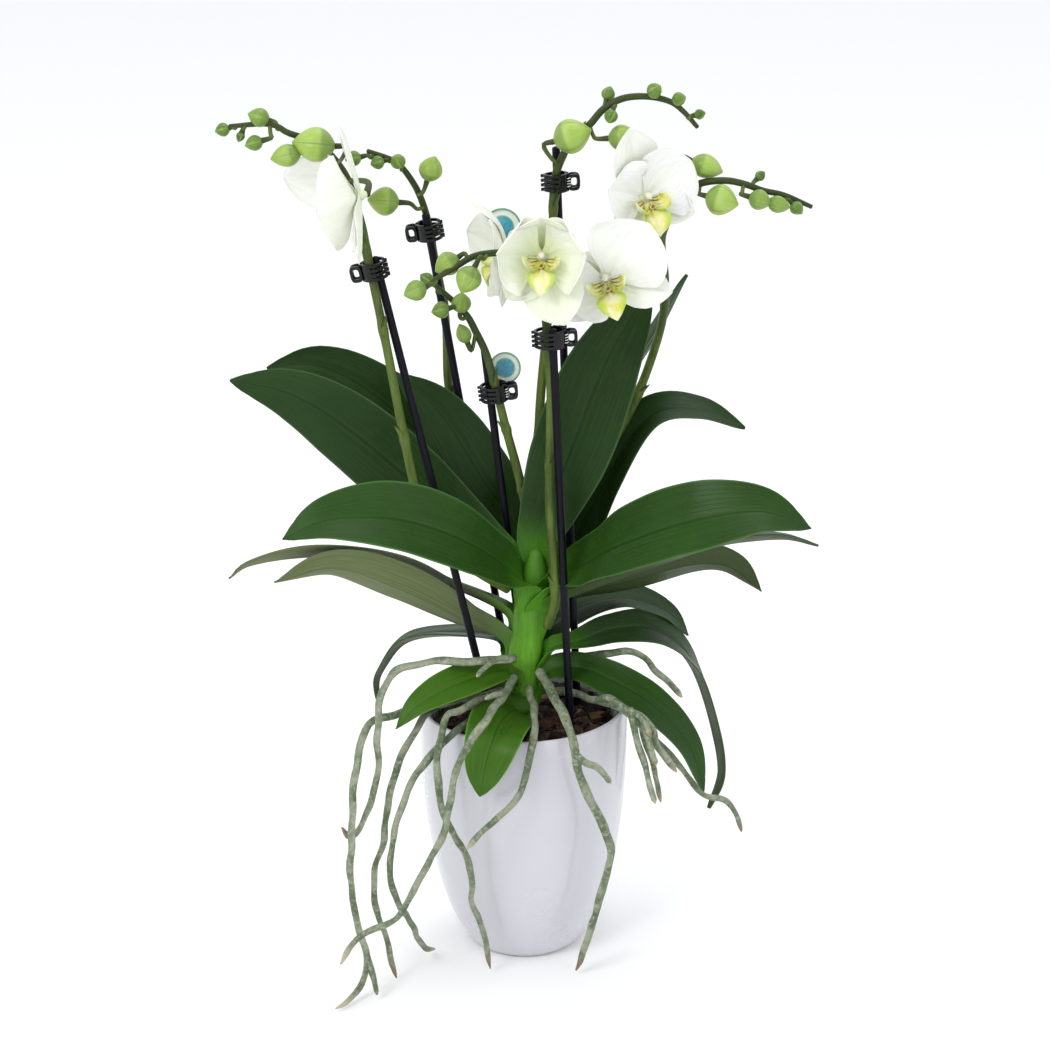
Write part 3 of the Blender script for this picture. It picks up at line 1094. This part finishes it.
# Middle of a flower, where its tepals and stalk meet: heights and radii
HUB = ((-0.006, 0.0016), (-0.004, 0.0028), (-0.002, 0.0038), (0.0, 0.0040), (0.0018, 0.0030))

# The lip and the column in their flower's own axes, in millimetres: a right-hand lobe, the middle lobe,
# the callus between them and the spine of the column, then the radii of callus and column in metres
SIDE_LOBE = ((1.2, -2.8, 3.0), (5.0, -4.6, 5.5), (8.8, -3.4, 8.5), (10.6, 1.2, 11.0))
MIDDLE_LOBE = ((0, -2.8, 3.0), (0, -6.4, 6.5), (0, -11.0, 9.8), (0, -16.0, 11.4), (0, -20.5, 10.8))
CALLUS = ((0, -4.2, 5.4), (0, -4.2, 6.6), (0, -3.8, 8.2), (0, -3.4, 9.0))
COLUMN = ((0, 0, 1.0), (0, 2.0, 3.5), (0, 2.2, 6.0), (0, 0.9, 8.2))
CALLUS_GIRTH = (0.0014, 0.0021, 0.0018, 0.0007)
COLUMN_GIRTH = (0.0021, 0.0020, 0.0018, 0.0016, 0.0016, 0.0016, 0.0016, 0.0017, 0.0018, 0.0019, 0.0019,
                0.0017, 0.0013, 0.0006)


def flower_placing(centre, facing, top):
    """A flower's own axes: X across, Y towards its top sepal and Z where it looks."""
    forward = Vector(facing).normalized()
    across = Vector(top).cross(forward).normalized()
    return axes_at(mm(*centre), across, forward.cross(across), forward)


def build_flowers(petal_finish, lip_finish, column_finish):
    """Every flower: three sepals, two petals, the hub behind them, and the lip with its column."""
    for number, ((centre, facing, top, size), tepals) in enumerate(zip(FLOWERS, TEPALS), 1):
        placing = flower_placing(centre, facing, top)
        turn_only = placing.to_3x3()
        shape = Shape()
        for index, (turn, breadth, length, lift, openness) in enumerate(tepals):
            petal = index >= 3
            spin = Matrix.Rotation(math.radians(turn), 4, "Z")
            route = []
            for k in range(TEPAL_STEPS + 1):
                t = k / TEPAL_STEPS
                bend = (1 - openness) * t**1.5
                rise = 0.10 * t + 0.75 * bend * t - (0.05 * t**4 if petal else 0.0)
                place = mm(0, length * t * (1 - 0.35 * bend), lift + length * rise)
                route.append(placing @ (spin @ place))
            look = turn_only @ Vector((0, 0, 1))
            inward = turn_only @ (spin.to_3x3() @ Vector((0, -(1 - openness) * 0.7, 0)))
            shape.ribbon(
                route, look + inward, breadth * 0.001, rows=40, columns=28, rim=0.16 + 0.22 * (1 - openness),
                middle=0.0011, edge=0.0004, waves=1.6, phase=number * 2.1 + index * 1.3, round_tip=0.10,
                tone=(0.02 if petal else 0.25) + GREEN_SHARE.get(number, 0.0), **(PETAL if petal else SEPAL),
            )
        hub = [placing @ Vector((0, 0, z)) for z, _ in HUB]
        shape.tube(hub, [girth for _, girth in HUB], 16, tone=0.6)
        shape.piece(f"flower_{number}_petals", petal_finish, "petal_white", f"flower_{number}_tepals")
        build_lip(number, placing, size, lip_finish, column_finish)


def build_lip(number, placing, size, lip_finish, column_finish):
    """Two upright side lobes, a pointed middle lobe, a small callus, and the column above them."""
    turn_only = placing.to_3x3()
    lip = Shape()

    def spots(points, side=1):
        return [placing @ (mm(side * x, y, z) * size) for x, y, z in points]

    for side in (-1, 1):
        lip.ribbon(spots(SIDE_LOBE, side), turn_only @ Vector((-side * 0.45, 0.8, 0.5)), 0.0120 * size,
                   LOBE_OUTLINE, rows=18, columns=14, rim=0.40, middle=0.0010, edge=0.0004, ripple=0.0005,
                   phase=side * 1.4, tone=1.0)
    lip.ribbon(spots(MIDDLE_LOBE), turn_only @ Vector((0, 0.45, 0.9)), 0.0175 * size, LIP_OUTLINE, rows=28,
               columns=18, rim=0.34, middle=0.0014, edge=0.0005, groove=-0.0010, ripple=0.0005, tone=0.35)
    lip.tube(spots(CALLUS), [g * size for g in CALLUS_GIRTH], 14, tone=0.9, flatten=0.75)
    lip.piece(f"flower_{number}_lip_lobes", lip_finish, "lip_yellow", f"flower_{number}_lip")
    column = Shape()
    column.tube(even_route(spots(COLUMN), len(COLUMN_GIRTH)), [g * size for g in COLUMN_GIRTH], 18)
    column.piece(f"flower_{number}_column", column_finish, "petal_white")


# ---------------------------------------------------------------- roots

# Roots: length of a step, how far one wanders, the share of its length where its tip begins, and the
# height below which it only wanders sideways
ROOT_STEP = 0.0022
ROOT_WANDER = 0.0014
ROOT_TIP = 0.95
ROOT_RESTS_BELOW = 0.008


def build_roots(finish):
    """Every root: knobbly, slightly wandering tubes that thin towards a rounded tip."""
    for number, (routes, radius) in enumerate(ROOTS, 1):
        shape = Shape()
        for index, points in enumerate(routes):
            rough = route_mm(points)
            length = sum((b - a).length for a, b in zip(rough, rough[1:]))
            count = max(12, round(length / ROOT_STEP))
            route = even_route(rough, count)
            seed = Vector((number * 3.1, index * 7.7, 0.5))
            radii = []
            for k, point in enumerate(route):
                t = k / (count - 1)
                knob = noise.noise(point * 95 + seed)
                drift = point * 60 + seed
                lean = Vector([noise.noise(drift + Vector((0, 0, 9 * axis))) for axis in range(3)])
                shift = lean * ROOT_WANDER
                if point.z < ROOT_RESTS_BELOW:
                    shift.z = 0
                route[k] = point + shift
                r = radius * 0.001 * (0.98 + 0.22 * knob) * (1 - 0.25 * t)
                if t > ROOT_TIP:
                    r *= 1 - 0.75 * ((t - ROOT_TIP) / (1 - ROOT_TIP)) ** 2
                radii.append(r * (0.86 if index else 1))
            for k, point in enumerate(route):
                point.z = max(point.z, radii[k] + 0.0002)
            shape.tube(route, radii, 14, tone=(number * 0.61 + index * 0.4) % 1)
        shape.piece(f"root_{number:02d}_velamen", finish, "root_velamen", f"root_{number:02d}")


# ---------------------------------------------------------------- stakes, clips, tags

STAKE_STEPS = 30

# Clips, in millimetres and degrees: how much further a jaw reaches than half the way from stake to
# stalk, and the angles at which the jaws start, end, and stop being one wide band
CLIP_SLACK = 2.9
JAW_START = 12
JAW_END = 176
JAW_BAND_END = 78

# Fingers of a jaw: how many, height of the first, their pitch, and how much one jaw's are offset
FINGERS = 4
FINGER_LOW = -4.4
FINGER_PITCH = 2.7
FINGER_OFFSET = 0.7

# Coil spring: turns, steps of a turn, radius and height of the coil, and radius of its wire in metres
SPRING_TURNS = 4
SPRING_STEPS = 16
SPRING_RADIUS = 1.3
SPRING_HEIGHT = 6.4
SPRING_WIRE = 0.00034

# Finger loop: half width, half height and depth of the corners of its frame in millimetres, then its
# steps and its lean in degrees
LOOP_FRAME = ((3.7, 4.9, -0.9), (3.7, 4.9, 0.9), (1.9, 2.9, 0.9), (1.9, 2.9, -0.9))
LOOP_STEPS = 24
LOOP_LEAN = 14

# Tags: how far they lean back in degrees, half the thickness of the face, and their profile as (share of
# the radius, share of that thickness); then sides of a tag, and rings and radius of its strap
TAG_LEAN = 12
TAG_DEPTH = 0.0006
TAG_PROFILE = ((0, 1), (0.58, 1), (0.60, 0.7), (0.86, 0.7), (0.89, 1.5), (0.98, 1.5), (1.0, 1), (1.0, -1),
               (0.98, -1.5), (0.89, -1.5), (0.86, -0.7), (0, -0.7))
TAG_SIDES = 56
STRAP_RINGS = 16
STRAP_RADIUS = 0.0010


def stake_bottom(top, entry):
    """The lower end of a stake, on the line from its top through where it enters the bark."""
    down = entry - top
    return top + down * ((top.z - STAKE_FOOT) / -down.z)


def build_stakes(finish):
    """Every stake: a plain rod with a rounded top."""
    for number, (top, entry) in enumerate(STAKES, 1):
        high = mm(*top)
        bottom = stake_bottom(high, mm(*entry))
        route = [bottom.lerp(high, k / STAKE_STEPS) for k in range(STAKE_STEPS + 1)]
        radii = [STAKE_RADIUS] * len(route)
        ahead = (high - bottom).normalized()
        for share in (0.35, 0.65, 0.9, 1.0):
            route.append(high + ahead * (STAKE_RADIUS * share * 0.6))
            radii.append(STAKE_RADIUS * (1 - share**2.4 * 0.92))
        shape = Shape()
        shape.tube(route, radii, 20, tone=number * 0.3 % 1)
        shape.piece(f"stake_{number}_rod", finish, "stake_black", f"stake_{number}")


def on_line(low, high, height):
    """The point at a height on the line between two points."""
    return low + (high - low) * ((height - low.z) / (high.z - low.z))


def on_route(points, height):
    """The point where a rising stalk first reaches a height."""
    route = smooth_route(route_mm(points), 0.002)
    for low, high in zip(route, route[1:]):
        if low.z <= height < high.z:
            return on_line(low, high, height)
    return route[-1]


def add_block(bm, placing, low, high):
    """A box between two corners in the clip's own axes, in millimetres."""
    low, high = mm(*low), mm(*high)
    matrix = placing @ Matrix.Translation((low + high) / 2) @ Matrix.Diagonal((*(high - low), 1))
    bmesh.ops.create_cube(bm, size=1, matrix=matrix)


def skin(bm, rings):
    """The faces between one ring of points and the next."""
    for low, high in zip(rings, rings[1:]):
        for quad in ring_quads(low, high):
            bm.faces.new(quad)


def add_arc(bm, placing, radius, thick, height, start, end, steps):
    """A curved band around the clip's own axis, from one angle to another, in millimetres and degrees."""
    corners = ((radius, -1), (radius + thick, -1), (radius + thick, 1), (radius, 1))
    rings = []
    for k in range(steps + 1):
        a = math.radians(start + (end - start) * k / steps)
        rings.append([bm.verts.new(placing @ mm(r * math.cos(a), r * math.sin(a), way * height / 2))
                      for r, way in corners])
    skin(bm, rings)
    bm.faces.new(rings[0][::-1])
    bm.faces.new(rings[-1])


def add_handle(bm, placing, middle, jaw):
    """A finger loop: a flat rounded frame with an opening, leaning away from its twin."""
    lean = Matrix.Translation(mm(middle, jaw * 2.6, 0))
    lean = lean @ Matrix.Rotation(math.radians(-jaw * LOOP_LEAN), 4, "Z")
    rings = []
    for k in range(LOOP_STEPS):
        a = math.tau * k / LOOP_STEPS
        x, z = (math.copysign(abs(c) ** 0.6, c) for c in (math.cos(a), math.sin(a)))
        rings.append([bm.verts.new(placing @ lean @ mm(x * width, depth, z * tall))
                      for width, tall, depth in LOOP_FRAME])
    skin(bm, rings + rings[:1])


def clip_placing(number):
    """A clip's own axes, X towards its handles and Z up the stake, and how far it reaches round."""
    top, entry = route_mm(STAKES[number - 1])
    height = CLIP_HEIGHTS[number - 1] * 0.001
    stake = on_line(entry, top, height)
    stalk = on_route(SPIKES[number - 1], height)
    along = (top - entry).normalized()
    across = square_to(Vector((CLIP_SIDES[number - 1], 0, 0)), along)
    out = along.cross(across).normalized()
    return axes_at((stake + stalk) / 2, across, out, along), (stalk - stake).length * 500 + CLIP_SLACK


def build_clips(finish, spring_finish):
    """Sprung plant clips: two toothed jaws around stake and stalk, two finger loops and a coil spring."""
    for number in range(1, len(CLIP_HEIGHTS) + 1):
        placing, hold = clip_placing(number)
        bm = bmesh.new()
        for jaw in (-1, 1):
            for finger in range(FINGERS):
                z = FINGER_LOW + FINGER_PITCH * finger + FINGER_OFFSET * (jaw < 0)
                lifted = placing @ Matrix.Translation(mm(0, 0, z))
                add_arc(bm, lifted, hold, 1.5, 1.9, jaw * JAW_START, jaw * JAW_END, 16)
                add_block(bm, lifted, (-hold - 2.6, jaw * 0.5 - 0.7, -0.7),
                          (-hold + 0.4, jaw * 0.5 + 0.7, 0.7))
            add_arc(bm, placing, hold, 1.6, 10.4, jaw * JAW_START, jaw * JAW_BAND_END, 10)
            add_block(bm, placing, (hold - 0.9, jaw * 1.9 - 0.9, -5.2), (hold + 1.6, jaw * 1.9 + 0.9, 5.2))
            add_handle(bm, placing, hold + 4.4, jaw)
        finish_hard(bm, f"clip_{number}_jaws", finish, "clip_black", f"clip_{number}")
        coil = []
        steps = SPRING_TURNS * SPRING_STEPS
        for k in range(steps + 1):
            a = math.tau * k / SPRING_STEPS
            x, y = SPRING_RADIUS * math.cos(a), SPRING_RADIUS * math.sin(a)
            coil.append(placing @ mm(hold + 1.4 + x, y - 3.2, SPRING_HEIGHT * (k / steps - 0.5)))
        spring = Shape()
        spring.tube(coil, [SPRING_WIRE] * len(coil), 8)
        spring.piece(f"clip_{number}_spring", spring_finish, "clip_black")


def finish_hard(bm, name, finish, slot, *nodes):
    """A moulded piece: rounded edges, flat faces."""
    bmesh.ops.recalc_face_normals(bm, faces=bm.faces)
    mesh = mesh_of(bm, name)
    mesh.shade_smooth()
    mesh.set_sharp_from_angle(angle=math.radians(40))
    obj = link(name, mesh)
    rounding = obj.modifiers.new("Rounding", "BEVEL")
    rounding.width = 0.00035
    rounding.segments = 2
    rounding.limit_method = "ANGLE"
    rounding.harden_normals = True
    return place_piece(obj, finish, slot, *nodes)


def build_tags(finish):
    """Round plastic tags with bare faces, a raised edge and a thin strap."""
    for number, (centre, radius, strap_route) in enumerate(TAGS, 1):
        flat = Matrix.Translation(mm(*centre)) @ Matrix.Rotation(math.radians(90 - TAG_LEAN), 4, "X")
        shape = Shape()
        profile = [(radius * 0.001 * share, TAG_DEPTH * depth) for share, depth in TAG_PROFILE]
        shape.turned(profile, TAG_SIDES,
                     lambda ring, angle, point: (flat @ point, 0, TAG_PROFILE[ring][0], 0, 0.5))
        shape.tube(even_route(route_mm(strap_route), STRAP_RINGS), [STRAP_RADIUS] * STRAP_RINGS, 10)
        outward(shape.piece(f"tag_{number}_disc", finish, "tag_plastic", f"tag_{number}"), 40)


# ---------------------------------------------------------------- stage

FLOOR_RADIUS = 14
SKY = (0.96, 0.98, 1.0, 1)
LAMP_AIM = (0, 0, 0.28)

# Lamps: name, place, size, power and colour
LAMPS = (
    ("key", (-1.2, -1.4, 1.8), 1.0, 19, (1.0, 0.985, 0.95)),
    ("fill", (1.6, -1.2, 1.1), 1.4, 5, (0.97, 0.98, 1.0)),
    ("top", (0.2, 0.5, 2.1), 1.2, 9, (1.0, 1.0, 1.0)),
)


def build_floor():
    """A wide plain floor under the foot."""
    bm = bmesh.new()
    bmesh.ops.create_circle(bm, cap_ends=True, segments=96, radius=FLOOR_RADIUS)
    mesh = mesh_of(bm, "floor")
    floor = link("floor", mesh)
    mesh.materials.append(floor_material())


def build_light():
    """A pale sky and three soft lamps."""
    world = bpy.data.worlds.new("studio")
    world.use_nodes = True
    back = world.node_tree.nodes["Background"]
    back.inputs["Color"].default_value = SKY
    back.inputs["Strength"].default_value = 1.0
    bpy.context.scene.world = world
    bpy.context.scene.view_settings.view_transform = "Standard"
    for name, place, size, power, colour in LAMPS:
        lamp = bpy.data.lights.new(name, "AREA")
        lamp.shape = "DISK"
        lamp.size = size
        lamp.energy = power
        lamp.color = colour
        obj = link(name, lamp)
        obj.location = place
        obj.rotation_euler = (Vector(LAMP_AIM) - Vector(place)).to_track_quat("-Z", "Y").to_euler()


def build_camera():
    """The camera, pitched down and rolled a little."""
    pitch, roll = math.radians(CAMERA_PITCH), math.radians(CAMERA_ROLL)
    ahead = Vector((0, math.cos(pitch), -math.sin(pitch)))
    level_right = Vector((1, 0, 0))
    level_up = Vector((0, math.sin(pitch), math.cos(pitch)))
    right = level_right * math.cos(roll) - level_up * math.sin(roll)
    up = level_right * math.sin(roll) + level_up * math.cos(roll)
    data = bpy.data.cameras.new("camera")
    data.angle = math.radians(CAMERA_VIEW)
    camera = link("camera", data)
    camera.matrix_world = axes_at(Vector(CAMERA_PLACE), right, up, -ahead)
    bpy.context.scene.camera = camera


# Leaf finishes: upper face, underside, and how matt they are
LEAF_BASE = (0.085, 0.27, 0.018)
LEAF_FINISHES = {
    "dark": ((0.0125, 0.040, 0.0055), (0.050, 0.078, 0.026), 0.30),
    "pale": ((0.0125, 0.040, 0.0055), (0.150, 0.188, 0.078), 0.30),
    "middle": ((0.016, 0.056, 0.0045), (0.060, 0.095, 0.028), 0.26),
    "bright": ((0.042, 0.122, 0.006), (0.10, 0.17, 0.04), 0.26),
}


def main():
    build_floor()
    build_light()
    build_camera()
    build_pots()
    build_bark()
    leaf_finishes = {
        kind: leaf_material(f"leaf_{kind}", upper, lower, LEAF_BASE, gloss)
        for kind, (upper, lower, gloss) in LEAF_FINISHES.items()
    }
    stalk = stalk_material("stalk_finish", (0.048, 0.076, 0.016), (0.088, 0.130, 0.024),
                           (0.030, 0.024, 0.012), (0.024, 0.030, 0.011))
    crown = stalk_material("crown_finish", (0.085, 0.25, 0.018), (0.13, 0.34, 0.022), (0.06, 0.18, 0.02),
                           (0.07, 0.22, 0.02))
    build_stem(crown)
    build_leaves(leaf_finishes)
    build_spikes(stalk, bud_material())
    petals = petal_material("petal_finish", (0.825, 0.83, 0.812), (0.60, 0.72, 0.27), (0.75, 0.785, 0.62))
    build_flowers(petals, lip_material(), column_material())
    build_roots(root_material())
    build_stakes(plastic_material("stake_finish", (0.0022, 0.0024, 0.0052), 0.36, 0.15))
    build_clips(plastic_material("clip_finish", (0.0016, 0.0016, 0.002), 0.14, 0.30), metal_material())
    build_tags(tag_material())


main()
